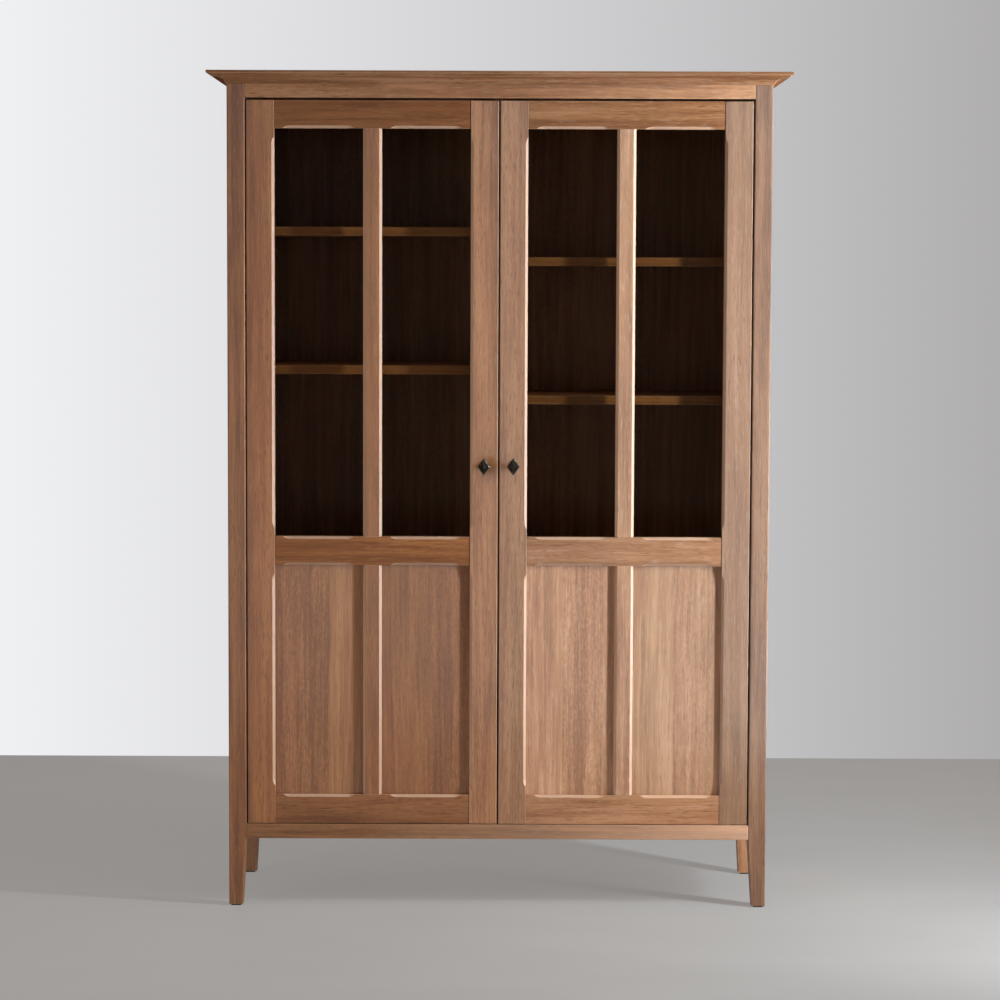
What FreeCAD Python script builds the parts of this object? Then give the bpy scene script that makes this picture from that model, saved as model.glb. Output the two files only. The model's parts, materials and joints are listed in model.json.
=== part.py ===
import FreeCAD, Part
import math
import os

# Glazed kitchen dresser: four full-height posts that end in tapered feet, framed sides, a moulded cornice,
# a pair of inset doors (glass above, panels below) on knife hinges, and adjustable shelves on pegs.
# Millimetres. +Z is up, the doors face -Y, and the origin is on the floor under the middle of the
# overall box.

# Overall sizes of the carcass
body_width = 1100.0
body_depth = 362.0
overall_height = 1700.0
leg_clearance = 140.0

# Posts, feet and the pads under them
post_size = 36.0
foot_size = 28.0
post_edge_radius = 2.0
pad_height = 3.0
pad_inset = 4.0

# Cornice: a fillet over a convex curve over a hollow, planted round the top panel
cornice_height = 24.0
cornice_projection = 38.0
cornice_seat = 44.0
cornice_fillet_height = 5.0
cornice_fillet_step = 3.0
cornice_swell_height = 6.5
cornice_swell_run = 13.0
cornice_hollow_foot = 2.0

# Rails of the carcass
front_rail_depth = 24.0
top_rail_height = 28.0
bottom_rail_height = 30.0
side_rail_thickness = 30.0
rear_rail_thickness = 22.0
rail_edge_radius = 1.0
rail_tenon_length = 10.0
rail_tenon_thickness = 8.0
rail_tenon_shoulder = 5.0

# Boards of the carcass
side_panel_thickness = 18.0
side_tongue_thickness = 6.0
side_tongue_length = 8.0
bottom_panel_thickness = 18.0
bottom_tongue_thickness = 6.0
bottom_tongue_length = 5.0
partition_thickness = 20.0
partition_housing = 4.0
top_tongue_thickness = 6.0
top_tongue_length = 8.0
back_thickness = 6.0
back_inset = 4.0
back_rebate = 10.0
joint_clearance = 0.5

# Shelves and their pegs
shelf_thickness = 18.0
shelf_setback = 26.0
shelf_side_clearance = 1.0
shelf_back_clearance = 2.0
shelf_edge_bevel = 1.5
fixed_shelf_rise = 8.0
fixed_shelf_housing = 5.0
lower_bay_height = 242.0
upper_bay_height = 264.0
top_bay_height = 288.0
peg_pitch = 30.0
left_peg_step = 1
right_peg_step = -1
peg_diameter = 5.0
peg_wall = 4.0
peg_reach = 8.0
peg_clearance = 0.05
peg_inset = 50.0
batten_width = 15.0
batten_height = 20.0
batten_setback = 12.0

# Doors
door_thickness = 22.0
door_setback = 2.0
door_side_gap = 3.0
door_meeting_gap = 3.5
door_top_gap = 5.0
door_bottom_gap = 1.5
door_stop_gap = 0.5
stile_width = 56.0
door_rail_setback = 0.8
door_top_rail_height = 56.0
door_lock_rail_height = 58.5
door_bottom_rail_height = 59.5
lower_opening_height = 472.0
muntin_width = 38.0
door_edge_radius = 1.5
door_tenon_thickness = 7.0
door_tenon_shoulder = 12.0
muntin_tenon_length = 12.0
muntin_tenon_shoulder = 10.0

# Stopped chamfers round the door openings, run out on a curve before each corner
chamfer_size = 5.0
chamfer_stop = 17.0
chamfer_run_out = 15.0

# Glass, beads and door panels
glass_setback = 10.0
glass_thickness = 4.0
glass_clearance = 1.0
rebate_width = 8.0
door_panel_setback = 9.0
door_panel_thickness = 6.0
door_panel_groove = 8.0
door_panel_clearance = 0.8

# Knobs: a four-sided iron point with a bevelled rim, on a neck and a small base plate. The shares are parts
# of the full width and length.
knob_rise = 144.5
knob_width = 26.0
knob_length = 36.0
knob_base_share = 0.62
knob_base_height = 2.5
knob_neck_share = 0.26
knob_neck_height = 9.5
knob_flare_height = 4.0
knob_rim_height = 1.6
knob_bevel_height = 2.0
knob_bevel_share = 0.8
knob_valley_share = 0.7
knob_valley_depth = 0.6
knob_point_height = 8.5
knob_flat_share = 0.08

# Knife hinges: a leaf with a pin in the rail, and a leaf with a hole in the end of the door
pivot_inset = 18.0
pivot_setback = 9.0
pivot_pin_diameter = 5.0
pivot_running_clearance = 0.05
leaf_length = 30.0
leaf_width = 13.0
leaf_thickness = 3.0
leaf_gap = 0.3

# Magnetic catches on the partition and their strike plates on the doors
catch_width = 14.0
catch_depth = 22.0
catch_height = 40.0
catch_drop = 46.0
catch_pole_height = 1.0
catch_pole_thickness = 2.0
strike_width = 12.0
strike_height = 32.0
strike_thickness = 1.2

# Heights worked out from the sizes above
carcass_top = overall_height - cornice_height
top_rail_low = carcass_top - top_rail_height
floor_level = leg_clearance + bottom_rail_height
door_low = floor_level + door_bottom_gap
door_high = top_rail_low - door_top_gap
lower_opening_low = door_low + door_bottom_rail_height
lower_opening_high = lower_opening_low + lower_opening_height
upper_opening_low = lower_opening_high + door_lock_rail_height
upper_opening_high = door_high - door_top_rail_height
knob_height = upper_opening_low + knob_rise
fixed_shelf_low = lower_opening_high + fixed_shelf_rise
fixed_shelf_high = fixed_shelf_low + shelf_thickness
lower_shelf_low = floor_level + lower_bay_height
upper_shelf_low = top_rail_low - top_bay_height - shelf_thickness
middle_shelf_low = upper_shelf_low - upper_bay_height - shelf_thickness

# Places across the width, for the right-hand half
half_width = body_width / 2
inner_half = half_width - post_size
partition_half = partition_thickness / 2
peg_depth = partition_half - peg_wall / 2
side_panel_outer = inner_half + side_panel_thickness
side_tongue_in = inner_half + (side_panel_thickness - side_tongue_thickness) / 2
side_tongue_out = side_tongue_in + side_tongue_thickness
side_rail_outer = inner_half + side_rail_thickness
side_tenon_in = side_rail_outer - rail_tenon_shoulder - rail_tenon_thickness
side_tenon_out = side_tenon_in + rail_tenon_thickness
door_inner = door_meeting_gap / 2
door_outer = inner_half - door_side_gap
opening_inner = door_inner + stile_width
opening_outer = door_outer - stile_width
muntin_middle = (opening_inner + opening_outer) / 2
muntin_inner = muntin_middle - muntin_width / 2
muntin_outer = muntin_middle + muntin_width / 2
knob_place = door_inner + stile_width / 2
pivot_place = door_outer - pivot_inset
door_tenon_length = stile_width / 2

# Places through the depth
overall_depth = body_depth + cornice_projection
front = cornice_projection - overall_depth / 2
back = overall_depth / 2
front_post_back = front + post_size
rear_post_front = back - post_size
front_rail_back = front + front_rail_depth
back_panel_rear = back - back_inset
back_panel_front = back_panel_rear - back_thickness
rear_rail_front = back_panel_front - rear_rail_thickness
door_face = front + door_setback
door_rear = door_face + door_thickness
door_rail_face = door_face + door_rail_setback
partition_front = max(door_rear, front_rail_back) + door_stop_gap
shelf_front = door_rear + shelf_setback
shelf_rear = back_panel_front - shelf_back_clearance
peg_rows = (shelf_front + peg_inset, shelf_rear - peg_inset)
glass_front = door_face + glass_setback
glass_rear = glass_front + glass_thickness
door_panel_front = door_face + door_panel_setback
door_panel_rear = door_panel_front + door_panel_thickness
door_tenon_front = door_face + (door_thickness - door_tenon_thickness) / 2
door_tenon_rear = door_tenon_front + door_tenon_thickness
pivot_depth = door_face + pivot_setback

# The two panes, and the two panels below them, share these spans across the right-hand door
bay_spans = ((opening_inner, muntin_inner), (muntin_outer, opening_outer))

UP = FreeCAD.Vector(0, 0, 1)
REARWARD = FreeCAD.Vector(0, 1, 0)
RIGHTWARD = FreeCAD.Vector(1, 0, 0)
ORIGIN = FreeCAD.Vector(0, 0, 0)
SAME_PLACE = 0.01


def point(x, y, z):
    return FreeCAD.Vector(x, y, z)


def block(x0, x1, y0, y1, z0, z1):
    """A box between two corners."""
    return Part.makeBox(x1 - x0, y1 - y0, z1 - z0, point(x0, y0, z0))


def rod(diameter, start, direction, length):
    return Part.makeCylinder(diameter / 2, length, start, direction)


def flat_face(corners):
    return Part.Face(Part.makePolygon(corners + corners[:1]))


def prism(corners, sweep):
    """A flat outline of straight sides, swept along a vector."""
    return flat_face(corners).extrude(sweep)


def joined(shapes):
    """Several overlapping or touching shapes as one solid with no leftover seams."""
    whole = shapes[0].multiFuse(shapes[1:])
    return whole.removeSplitter()


def eased(shape, radius, chosen):
    """The edges that a test picks, rounded over."""
    return shape.makeFillet(radius, [edge for edge in shape.Edges if chosen(edge)])


def bevelled(shape, size, chosen):
    """The edges that a test picks, cut at 45 degrees."""
    return shape.makeChamfer(size, [edge for edge in shape.Edges if chosen(edge)])


def along(edge, axis):
    """True if a straight edge runs mostly along an axis."""
    first = edge.Vertexes[0].Point
    last = edge.Vertexes[-1].Point
    step = last.sub(first)
    return step.Length > 1 and abs(step.dot(axis)) > 0.9 * step.Length


def at_depth(edge, y):
    return all(abs(corner.Point.y - y) < SAME_PLACE for corner in edge.Vertexes)


def eased_uprights(shape, radius, y):
    """The upright edges of the face at one depth, rounded over."""
    return eased(shape, radius, lambda edge: along(edge, UP) and at_depth(edge, y))


def level_at(y):
    """A test for the level edges of the face at one depth."""
    return lambda edge: along(edge, RIGHTWARD) and at_depth(edge, y)


def other_side(shape):
    """The mirror image in the dresser's middle plane."""
    return shape.mirror(ORIGIN, RIGHTWARD)


# Feet and posts

def foot_pad(rear):
    """The pad under a right-hand foot, which keeps to the outer corner of its post."""
    x = half_width - foot_size + pad_inset
    y = (back - foot_size if rear else front) + pad_inset
    size = foot_size - 2 * pad_inset
    return block(x, x + size, y, y + size, 0, pad_height)


def foot_pads():
    feet = [foot_pad(rear) for rear in (False, True)]
    return Part.makeCompound(feet + [other_side(foot) for foot in feet])


def post_blank(y0, y1, inward):
    """A post whose two inner faces taper to the foot below the carcass. inward is +1 where y1 is the face
    towards the middle of the dresser, and -1 where y0 is."""
    blank = block(inner_half, half_width, y0, y1, pad_height, carcass_top)
    cut = post_size - foot_size
    inner_face = y1 if inward > 0 else y0
    outer_face = y0 if inward > 0 else y1
    side_wedge = prism([point(inner_half, y0, leg_clearance), point(inner_half, y0, pad_height),
                        point(inner_half + cut, y0, pad_height)], point(0, post_size, 0))
    depth_wedge = prism([point(inner_half, inner_face, leg_clearance),
                         point(inner_half, inner_face, pad_height),
                         point(inner_half, inner_face - inward * cut, pad_height)], point(post_size, 0, 0))
    return eased_uprights(blank.cut(side_wedge).cut(depth_wedge), post_edge_radius, outer_face)


def side_groove(y0, y1):
    """Where the side panel's tongue enters a post or a side rail."""
    return block(side_tongue_in, side_tongue_out, y0, y1,
                 floor_level - side_tongue_length - joint_clearance,
                 top_rail_low + side_tongue_length + joint_clearance)


def rail_levels():
    """Low and high edge of the bottom and top rails that run round the carcass."""
    return ((leg_clearance, floor_level), (top_rail_low, carcass_top))


def tenon_levels(low, high):
    return low + rail_tenon_shoulder, high - rail_tenon_shoulder


def side_tenon_levels(low, high):
    """A side rail's tenon keeps clear of the groove for the side panel."""
    spare = side_tongue_length + 2 * joint_clearance
    if low < floor_level:
        return low + rail_tenon_shoulder, high - spare
    return low + spare, high - rail_tenon_shoulder


def cross_tenon(y0, low, high):
    """The tenon on the right-hand end of a front or rear rail."""
    z0, z1 = tenon_levels(low, high)
    return block(inner_half, inner_half + rail_tenon_length, y0, y0 + rail_tenon_thickness, z0, z1)


def front_tenon_depth():
    return front + (front_rail_depth - rail_tenon_thickness) / 2


def rear_tenon_depth():
    return back_panel_front - rail_tenon_shoulder - rail_tenon_thickness


def side_tenon(front_end, low, high):
    z0, z1 = side_tenon_levels(low, high)
    y0 = front_post_back - rail_tenon_length if front_end else rear_post_front
    return block(side_tenon_in, side_tenon_out, y0, y0 + rail_tenon_length, z0, z1)


def front_post():
    post = post_blank(front, front_post_back, 1)
    post = post.cut(side_groove(front_post_back - side_tongue_length - joint_clearance, front_post_back))
    for low, high in rail_levels():
        post = post.cut(cross_tenon(front_tenon_depth(), low, high)).cut(side_tenon(True, low, high))
    return post


def rear_post():
    post = post_blank(rear_post_front, back, -1)
    post = post.cut(side_groove(rear_post_front, rear_post_front + side_tongue_length + joint_clearance))
    rebate = block(inner_half, inner_half + back_rebate, back_panel_front, back, leg_clearance, carcass_top)
    post = post.cut(rebate)
    for low, high in rail_levels():
        post = post.cut(cross_tenon(rear_tenon_depth(), low, high)).cut(side_tenon(False, low, high))
    return post


# Rails of the carcass

def cross_rail(y0, y1, tenon_y, low, high):
    """A rail between the left and right posts, with a tenon on each end."""
    bar = block(-inner_half, inner_half, y0, y1, low, high)
    tenon = cross_tenon(tenon_y, low, high)
    return joined([bar, tenon, other_side(tenon)])


def front_rail(low, high):
    rail = cross_rail(front, front_rail_back, front_tenon_depth(), low, high)
    return eased(rail, rail_edge_radius, level_at(front))


def front_top_rail():
    recess = set_leaf(top_rail_low, 1, door_top_gap)
    return front_rail(top_rail_low, carcass_top).cut(recess).cut(other_side(recess))


def front_bottom_rail():
    recess = set_leaf(floor_level, -1, door_bottom_gap)
    rail = front_rail(leg_clearance, floor_level).cut(recess).cut(other_side(recess))
    return rail.cut(bottom_tongues(joint_clearance))


def rear_rail(low, high):
    return cross_rail(rear_rail_front, back_panel_front, rear_tenon_depth(), low, high)


def rear_rails():
    bottom = rear_rail(leg_clearance, floor_level).cut(bottom_tongues(joint_clearance))
    return Part.makeCompound([bottom, rear_rail(top_rail_low, carcass_top)])


def side_rail(low, high):
    bar = block(inner_half, side_rail_outer, front_post_back, rear_post_front, low, high)
    rail = joined([bar, side_tenon(True, low, high), side_tenon(False, low, high)])
    rail = rail.cut(side_groove(front_post_back, rear_post_front))
    return rail.cut(bottom_tongues(joint_clearance)) if low < floor_level else rail


def side_rails():
    return Part.makeCompound([side_rail(low, high) for low, high in rail_levels()])


# Boards of the carcass

def bottom_tongues(play):
    """The tongues on the four edges of the bottom panel; play lengthens them to make their grooves."""
    middle = floor_level - bottom_panel_thickness / 2
    z0 = middle - bottom_tongue_thickness / 2
    z1 = middle + bottom_tongue_thickness / 2
    reach = bottom_tongue_length + play
    half_length = inner_half - joint_clearance
    long_way = block(-half_length, half_length, front_rail_back - reach, rear_rail_front + reach, z0, z1)
    cross_way = block(-inner_half - reach, inner_half + reach, front_post_back, rear_post_front, z0, z1)
    return long_way.fuse(cross_way)


def bottom_panel():
    board = block(-inner_half, inner_half, front_rail_back, rear_rail_front,
                  floor_level - bottom_panel_thickness, floor_level)
    housing = block(-partition_half, partition_half, partition_front, rear_rail_front,
                    floor_level - partition_housing, floor_level)
    return joined([board, bottom_tongues(0)]).cut(housing)


def side_panel(peg_step):
    """A right-hand side panel, drilled for the pegs of shelves that are moved by a number of peg holes."""
    board = block(inner_half, side_panel_outer, front_post_back, rear_post_front, floor_level, top_rail_low)
    tongue = block(side_tongue_in, side_tongue_out,
                   front_post_back - side_tongue_length, rear_post_front + side_tongue_length,
                   floor_level - side_tongue_length, top_rail_low + side_tongue_length)
    housing = block(inner_half, inner_half + fixed_shelf_housing, shelf_front, rear_post_front,
                    fixed_shelf_low, fixed_shelf_high)
    return joined([board, tongue]).cut([housing, peg_holes(inner_half, 1, peg_step)])


def center_partition():
    board = block(-partition_half, partition_half, partition_front, back_panel_front,
                  floor_level, carcass_top)
    foot = block(-partition_half, partition_half, partition_front, rear_rail_front,
                 floor_level - partition_housing, floor_level)
    notch = block(-partition_half, partition_half, rear_rail_front, back_panel_front,
                  top_rail_low, carcass_top)
    housing = block(partition_half - fixed_shelf_housing, partition_half, shelf_front, shelf_rear,
                    fixed_shelf_low, fixed_shelf_high)
    right_holes = peg_holes(partition_half, -1, right_peg_step)
    left_holes = other_side(peg_holes(partition_half, -1, left_peg_step))
    return joined([board, foot]).cut([notch, housing, other_side(housing), right_holes, left_holes])


def back_panel():
    reach = inner_half + back_rebate - joint_clearance
    return block(-reach, reach, back_panel_front, back_panel_rear,
                 leg_clearance + joint_clearance, carcass_top)


# Cornice and top

def cornice_inner_x():
    return half_width - cornice_seat


def cornice_inner_y():
    return front + cornice_seat


def cornice_profile(place):
    """The moulding's section; place turns (distance out from the carcass, height) into a point."""
    step_out = cornice_projection - cornice_fillet_step
    swell_top = overall_height - cornice_fillet_height
    swell_low = swell_top - cornice_swell_height
    swell_end = step_out - cornice_swell_run
    rise = swell_low - carcass_top
    slope = math.sqrt(0.5)
    swell_middle = place(swell_end + cornice_swell_run * slope,
                         swell_low + cornice_swell_height * (1 - slope))
    hollow_middle = place(cornice_hollow_foot + (swell_end - cornice_hollow_foot) * (1 - slope),
                          carcass_top + rise * slope)
    tip = place(cornice_projection, overall_height)
    under_fillet = place(cornice_projection, swell_top)
    swell_start = place(step_out, swell_top)
    swell_finish = place(swell_end, swell_low)
    foot = place(cornice_hollow_foot, carcass_top)
    inner_low = place(-cornice_seat, carcass_top)
    inner_high = place(-cornice_seat, overall_height)
    edges = [
        Part.LineSegment(inner_high, tip),
        Part.LineSegment(tip, under_fillet),
        Part.LineSegment(under_fillet, swell_start),
        Part.Arc(swell_start, swell_middle, swell_finish),
        Part.Arc(swell_finish, hollow_middle, foot),
        Part.LineSegment(foot, inner_low),
        Part.LineSegment(inner_low, inner_high),
    ]
    return Part.Face(Part.Wire([edge.toShape() for edge in edges]))


def top_tongue(play):
    """The tongue round the top panel; play lengthens it to make the groove in the cornice."""
    reach = top_tongue_length + play
    middle = carcass_top + cornice_height / 2
    return block(-cornice_inner_x() - reach, cornice_inner_x() + reach, cornice_inner_y() - reach, back,
                 middle - top_tongue_thickness / 2, middle + top_tongue_thickness / 2)


def mitred(moulding, corners):
    """A moulding cut to a plan outline that carries its mitres, and grooved for the top panel."""
    plan = prism([point(x, y, carcass_top) for x, y in corners], point(0, 0, cornice_height))
    return moulding.common(plan).cut(top_tongue(joint_clearance))


def cornice_front():
    outer_x = half_width + cornice_projection
    outer_y = front - cornice_projection
    section = cornice_profile(lambda out, z: point(-outer_x, front - out, z))
    corners = [(-outer_x, outer_y), (outer_x, outer_y),
               (cornice_inner_x(), cornice_inner_y()), (-cornice_inner_x(), cornice_inner_y())]
    return mitred(section.extrude(point(2 * outer_x, 0, 0)), corners)


def cornice_side():
    outer_x = half_width + cornice_projection
    outer_y = front - cornice_projection
    section = cornice_profile(lambda out, z: point(half_width + out, outer_y, z))
    corners = [(outer_x, outer_y), (outer_x, back), (cornice_inner_x(), back),
               (cornice_inner_x(), cornice_inner_y())]
    return mitred(section.extrude(point(0, back - outer_y, 0)), corners)


def top_panel():
    board = block(-cornice_inner_x(), cornice_inner_x(), cornice_inner_y(), back, carcass_top, overall_height)
    return joined([board, top_tongue(0)])


# Shelves and pegs

def pegged_levels(step):
    """Undersides of the two pegged shelves on one side of the partition, moved by a number of peg holes."""
    return middle_shelf_low + step * peg_pitch, upper_shelf_low + step * peg_pitch


def peg_places(step):
    """Depth and height of each peg on one face."""
    drop = peg_diameter / 2 + peg_clearance
    return [(y, low - drop) for low in pegged_levels(step) for y in peg_rows]


def peg_holes(face_x, side, step):
    """Blind holes drilled from a face at x; side is +1 where they run towards +X."""
    depth = peg_depth + joint_clearance
    bore = peg_diameter + 2 * peg_clearance
    return Part.makeCompound([rod(bore, point(face_x, y, z), RIGHTWARD * side, depth)
                              for y, z in peg_places(step)])


def bay_pegs(step):
    """The pegs on both sides of the right-hand bay."""
    length = peg_depth + peg_reach
    return [rod(peg_diameter, point(face_x + side * peg_depth, y, z), RIGHTWARD * -side, length)
            for face_x, side in ((inner_half, 1), (partition_half, -1)) for y, z in peg_places(step)]


def shelf_pegs():
    return Part.makeCompound(bay_pegs(right_peg_step) + [other_side(peg) for peg in bay_pegs(left_peg_step)])


def shelf_battens():
    """Strips on both sides of each lower bay that carry its loose shelf."""
    starts = (partition_half, inner_half - batten_width)
    right = [block(x, x + batten_width, shelf_front + batten_setback, shelf_rear,
                   lower_shelf_low - batten_height, lower_shelf_low) for x in starts]
    return Part.makeCompound(right + [other_side(batten) for batten in right])


def shelf(low):
    """A loose shelf in the right-hand bay, with its front edges eased."""
    board = block(partition_half + shelf_side_clearance, inner_half - shelf_side_clearance,
                  shelf_front, shelf_rear, low, low + shelf_thickness)
    return bevelled(board, shelf_edge_bevel, level_at(shelf_front))


def fixed_shelf():
    """The shelf behind a lock rail, housed in the partition and the side panel and notched round the post."""
    board = block(partition_half - fixed_shelf_housing, inner_half + fixed_shelf_housing,
                  shelf_front, shelf_rear, fixed_shelf_low, fixed_shelf_high)
    notch = block(inner_half, inner_half + fixed_shelf_housing, rear_post_front, shelf_rear,
                  fixed_shelf_low, fixed_shelf_high)
    return bevelled(board.cut(notch), shelf_edge_bevel, level_at(shelf_front))


# Knife hinges

def leaf(low):
    """A right-hand leaf over the pivot."""
    return block(pivot_place - leaf_length / 2, pivot_place + leaf_length / 2,
                 pivot_depth - leaf_width / 2, pivot_depth + leaf_width / 2, low, low + leaf_thickness)


def leaf_stand(gap):
    """How far each leaf stands out of its wood, so that the pair nearly meets in the gap."""
    return (gap - leaf_gap) / 2


def set_leaf(face, into, gap):
    """A leaf let into the wood at a face; into is +1 where the wood lies above that face."""
    start = face - into * leaf_stand(gap)
    return leaf(min(start, start + into * leaf_thickness))


def pinned_leaf(face, into, gap):
    """A rail's leaf with the pin that reaches through the door's leaf."""
    start = point(pivot_place, pivot_depth, face - into * leaf_stand(gap))
    pin = rod(pivot_pin_diameter, start, UP * -into, leaf_gap + leaf_thickness)
    return joined([set_leaf(face, into, gap), pin])


def rail_hinge_leaves():
    right = [pinned_leaf(floor_level, -1, door_bottom_gap), pinned_leaf(top_rail_low, 1, door_top_gap)]
    return Part.makeCompound(right + [other_side(one) for one in right])


def door_leaf_blanks():
    return [set_leaf(door_low, 1, door_bottom_gap), set_leaf(door_high, -1, door_top_gap)]


def door_hinge_leaves():
    bore = rod(pivot_pin_diameter + 2 * pivot_running_clearance, point(pivot_place, pivot_depth, floor_level),
               UP, top_rail_low - floor_level)
    return Part.makeCompound([one.cut(bore) for one in door_leaf_blanks()])


# Magnetic catches

def catch_middle():
    return top_rail_low - catch_drop


def strike_levels():
    return catch_middle() - strike_height / 2, catch_middle() + strike_height / 2


def magnet_catch():
    """A catch on the right-hand face of the partition, with two pole plates that meet the strike."""
    low = catch_middle() - catch_height / 2
    pole_low, pole_high = strike_levels()
    housing_front = partition_front + catch_pole_height
    housing = block(partition_half, partition_half + catch_width,
                    housing_front, partition_front + catch_depth, low, low + catch_height)
    poles = []
    for step in (1, 2):
        x = partition_half + catch_width * step / 3
        poles.append(block(x - catch_pole_thickness / 2, x + catch_pole_thickness / 2,
                           partition_front, housing_front, pole_low, pole_high))
    return joined([housing] + poles)


def magnet_catches():
    right = magnet_catch()
    return Part.makeCompound([right, other_side(right)])


def strike_plate():
    x = partition_half + catch_width / 2
    return block(x - strike_width / 2, x + strike_width / 2, door_rear - strike_thickness, door_rear,
                 *strike_levels())


# Doors: the right-hand door, which is mirrored for the left

def pane_rebate(span):
    """The step behind an opening that takes a pane and its beads."""
    return block(span[0] - rebate_width, span[1] + rebate_width, glass_front, door_rear,
                 upper_opening_low - rebate_width, upper_opening_high + rebate_width)


def panel_groove(span):
    return block(span[0] - door_panel_groove, span[1] + door_panel_groove, door_panel_front, door_panel_rear,
                 lower_opening_low - door_panel_groove, lower_opening_high + door_panel_groove)


def frame_recesses():
    return [pane_rebate(span) for span in bay_spans] + [panel_groove(span) for span in bay_spans]


def chamfer_cutter(start, run, inward, stopped):
    """Cuts a 45 degree chamfer along a front edge. start is the corner of the opening, run the edge to the
    next corner, and inward points across the face into the wood. A stopped one runs out on arcs."""
    along_edge = FreeCAD.Vector(run).normalize()
    down = (inward + REARWARD).normalize()
    across = (inward - REARWARD).normalize()
    depth = chamfer_size * math.sqrt(0.5)
    base = start - across * chamfer_size

    def place(distance, into):
        return base + along_edge * distance + down * into

    if not stopped:
        corners = [place(-depth, -depth), place(run.Length + depth, -depth),
                   place(run.Length + depth, depth), place(-depth, depth)]
        return prism(corners, across * (2 * chamfer_size))
    first = chamfer_stop
    last = run.Length - chamfer_stop
    radius = (chamfer_run_out ** 2 + depth ** 2) / (2 * depth)
    half_turn = math.asin(chamfer_run_out / radius) / 2
    mid_run = chamfer_run_out - radius * math.sin(half_turn)
    mid_depth = depth - radius * (1 - math.cos(half_turn))
    edges = [
        Part.Arc(place(first, 0), place(first + mid_run, mid_depth), place(first + chamfer_run_out, depth)),
        Part.LineSegment(place(first + chamfer_run_out, depth), place(last - chamfer_run_out, depth)),
        Part.Arc(place(last - chamfer_run_out, depth), place(last - mid_run, mid_depth), place(last, 0)),
        Part.LineSegment(place(last, 0), place(last, -depth)),
        Part.LineSegment(place(last, -depth), place(first, -depth)),
        Part.LineSegment(place(first, -depth), place(first, 0)),
    ]
    outline = Part.Face(Part.Wire([edge.toShape() for edge in edges]))
    return outline.extrude(across * (2 * chamfer_size))


def upright_chamfers(x, face, inward, stopped):
    """Chamfers up one edge of a stile or muntin, beside the lower and the upper opening."""
    cutters = []
    for low, high in ((lower_opening_low, lower_opening_high), (upper_opening_low, upper_opening_high)):
        cutters.append(chamfer_cutter(point(x, face, low), point(0, 0, high - low), inward, stopped))
    return cutters


def level_chamfers(z, inward):
    """Stopped chamfers along one edge of a rail, one for each opening that it borders."""
    return [chamfer_cutter(point(x0, door_rail_face, z), point(x1 - x0, 0, 0), inward, True)
            for x0, x1 in bay_spans]


def rail_tenons(low, high):
    """The tenons of a door rail, kept clear of the rebate and groove along its edges."""
    starts = (opening_inner - door_tenon_length, opening_outer)
    return [block(x, x + door_tenon_length, door_tenon_front, door_tenon_rear,
                  low + door_tenon_shoulder, high - door_tenon_shoulder) for x in starts]


def door_rail_levels():
    return {"bottom": (door_low, lower_opening_low), "lock": (lower_opening_high, upper_opening_low),
            "top": (upper_opening_high, door_high)}


def all_rail_tenons():
    return [tenon for low, high in door_rail_levels().values() for tenon in rail_tenons(low, high)]


def muntin_tenon(low, high):
    return block(muntin_inner + muntin_tenon_shoulder, muntin_outer - muntin_tenon_shoulder,
                 door_tenon_front, door_tenon_rear, low, high)


def muntin_tenons(low, high):
    """The stub tenons above and below a muntin that spans one opening."""
    return [muntin_tenon(low - muntin_tenon_length, low), muntin_tenon(high, high + muntin_tenon_length)]


def all_muntin_tenons():
    return (muntin_tenons(lower_opening_low, lower_opening_high)
            + muntin_tenons(upper_opening_low, upper_opening_high))


def stile_blank(x0, x1, outer_x):
    """A stile with the two long edges on its outer side rounded."""
    bar = block(x0, x1, door_face, door_rear, door_low, door_high)

    def on_outer_side(edge):
        return along(edge, UP) and abs(edge.Vertexes[0].Point.x - outer_x) < SAME_PLACE

    return eased(bar, door_edge_radius, on_outer_side)


def hinge_stile():
    stile = stile_blank(opening_outer, door_outer, door_outer)
    cuts = frame_recesses() + all_rail_tenons() + door_leaf_blanks()
    return stile.cut(cuts + upright_chamfers(opening_outer, door_face, RIGHTWARD, True))


def meeting_stile():
    stile = stile_blank(door_inner, opening_inner, door_inner)
    cuts = frame_recesses() + all_rail_tenons() + [strike_plate()]
    return stile.cut(cuts + upright_chamfers(opening_inner, door_face, -RIGHTWARD, True))


def door_rail(name):
    low, high = door_rail_levels()[name]
    bar = block(opening_inner, opening_outer, door_rail_face, door_rear, low, high)
    cuts = frame_recesses() + all_muntin_tenons()
    if name != "top":
        cuts += level_chamfers(high, -UP)
    if name != "bottom":
        cuts += level_chamfers(low, UP)
    return joined([bar] + rail_tenons(low, high)).cut(cuts)


def muntin(low, high):
    bar = block(muntin_inner, muntin_outer, door_rail_face, door_rear, low, high)
    cuts = frame_recesses()
    cuts += upright_chamfers(muntin_inner, door_rail_face, RIGHTWARD, False)
    cuts += upright_chamfers(muntin_outer, door_rail_face, -RIGHTWARD, False)
    return joined([bar.cut(cuts)] + muntin_tenons(low, high))


def glass_pane(span):
    reach = rebate_width - glass_clearance
    return block(span[0] - reach, span[1] + reach, glass_front, glass_rear,
                 upper_opening_low - reach, upper_opening_high + reach)


def glass_panes():
    return Part.makeCompound([glass_pane(span) for span in bay_spans])


def pane_beads(span):
    """Four strips that hold a pane in its rebate from behind."""
    x0, x1 = span
    low = upper_opening_low
    high = upper_opening_high
    uprights = [block(x0 - rebate_width, x0, glass_rear, door_rear, low - rebate_width, high + rebate_width),
                block(x1, x1 + rebate_width, glass_rear, door_rear, low - rebate_width, high + rebate_width)]
    levels = [block(x0, x1, glass_rear, door_rear, low - rebate_width, low),
              block(x0, x1, glass_rear, door_rear, high, high + rebate_width)]
    return uprights + levels


def glazing_beads():
    return Part.makeCompound([bead for span in bay_spans for bead in pane_beads(span)])


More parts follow.
